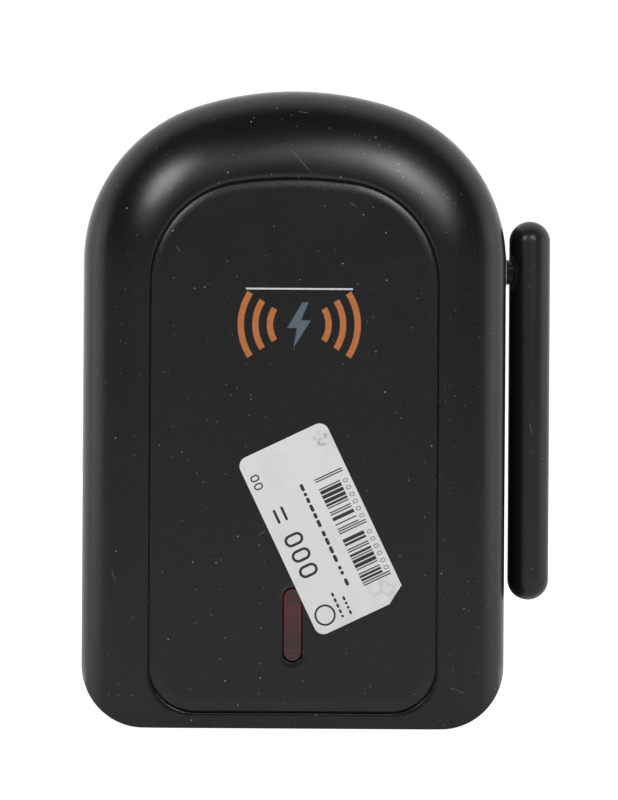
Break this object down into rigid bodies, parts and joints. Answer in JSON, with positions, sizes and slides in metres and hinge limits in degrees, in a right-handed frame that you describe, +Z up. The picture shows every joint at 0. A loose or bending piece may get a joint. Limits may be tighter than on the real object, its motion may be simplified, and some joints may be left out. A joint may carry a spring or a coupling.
{
  "type": "wireless sensor transmitter",
  "caption": "Arched black battery transmitter of a home power meter, with an inset battery door, an indicator window, sensor sockets underneath and a flip antenna on its right side.",
  "frame": {"origin": "middle of the base at half the case's depth", "axes": "+Z up, -Y out of the front with the battery door, +X towards the side with the antenna"},
  "size_m": [0.0976, 0.0381, 0.132],
  "materials": {
    "case_plastic": "fine grained black moulding",
    "inner_plastic": "plain black moulding",
    "label_paper": "white sticker",
    "lens_plastic": "dark red, clear",
    "steel": "nickel plated",
    "cell_jacket": "printed jacket over the can",
    "board_green": "solder mask",
    "board_blue": "solder mask",
    "chip_plastic": "moulded epoxy",
    "led_plastic": "red, diffused",
    "button_plastic": "dark grey",
    "nylon": "natural",
    "copper": "bare copper",
    "wire_red": "insulation",
    "wire_black": "insulation",
    "rating_foil": "silver sticker"
  },
  "bodies": {
    "root": {"front_shell": "case_plastic", "back_shell": "case_plastic", "indicator_lens": "lens_plastic", "battery_tray": "inner_plastic", "cell_left": "cell_jacket", "cell_right": "cell_jacket", "negative_spring": "steel", "positive_contact": "steel", "bridge_contact": "steel", "bridge_spring": "steel", "main_board": "board_green", "radio_module": "board_blue", "radio_can": "steel", "crystal": "steel", "microcontroller": "chip_plastic", "status_led": "led_plastic", "capacitors": "chip_plastic", "surface_parts": "chip_plastic", "sensor_socket_1": "inner_plastic", "sensor_socket_2": "inner_plastic", "sensor_socket_3": "inner_plastic", "tact_switch": "chip_plastic", "pivot_bush": "nylon", "antenna_lead": "wire_black", "battery_lead_red": "wire_red", "battery_lead_black": "wire_black", "case_screws": "steel", "board_screws": "steel", "rating_label": "rating_foil"},
    "antenna": {"antenna_front_half": "case_plastic", "antenna_rear_half": "case_plastic", "antenna_element": "copper", "antenna_hub": "case_plastic", "friction_washer": "nylon", "hub_clip": "steel"},
    "door": {"battery_door": "case_plastic", "price_label": "label_paper"},
    "button": {"pair_button": "button_plastic", "switch_plunger": "nylon"}
  },
  "joints": [
    {"name": "antenna_swing", "type": "hinge", "parent": "root", "child": "antenna", "pos_m": [0.0493, 0, 0.0948], "axis": [-1, 0, 0], "range_deg": [0, 180]},
    {"name": "door_off", "type": "slide", "parent": "root", "child": "door", "axis": [0, -1, 0], "range_m": [0, 0.06]},
    {"name": "button_press", "type": "slide", "parent": "root", "child": "button", "axis": [0, 0, 1], "range_m": [0, 0.0005], "stiffness_N_per_m": 400}
  ]
}
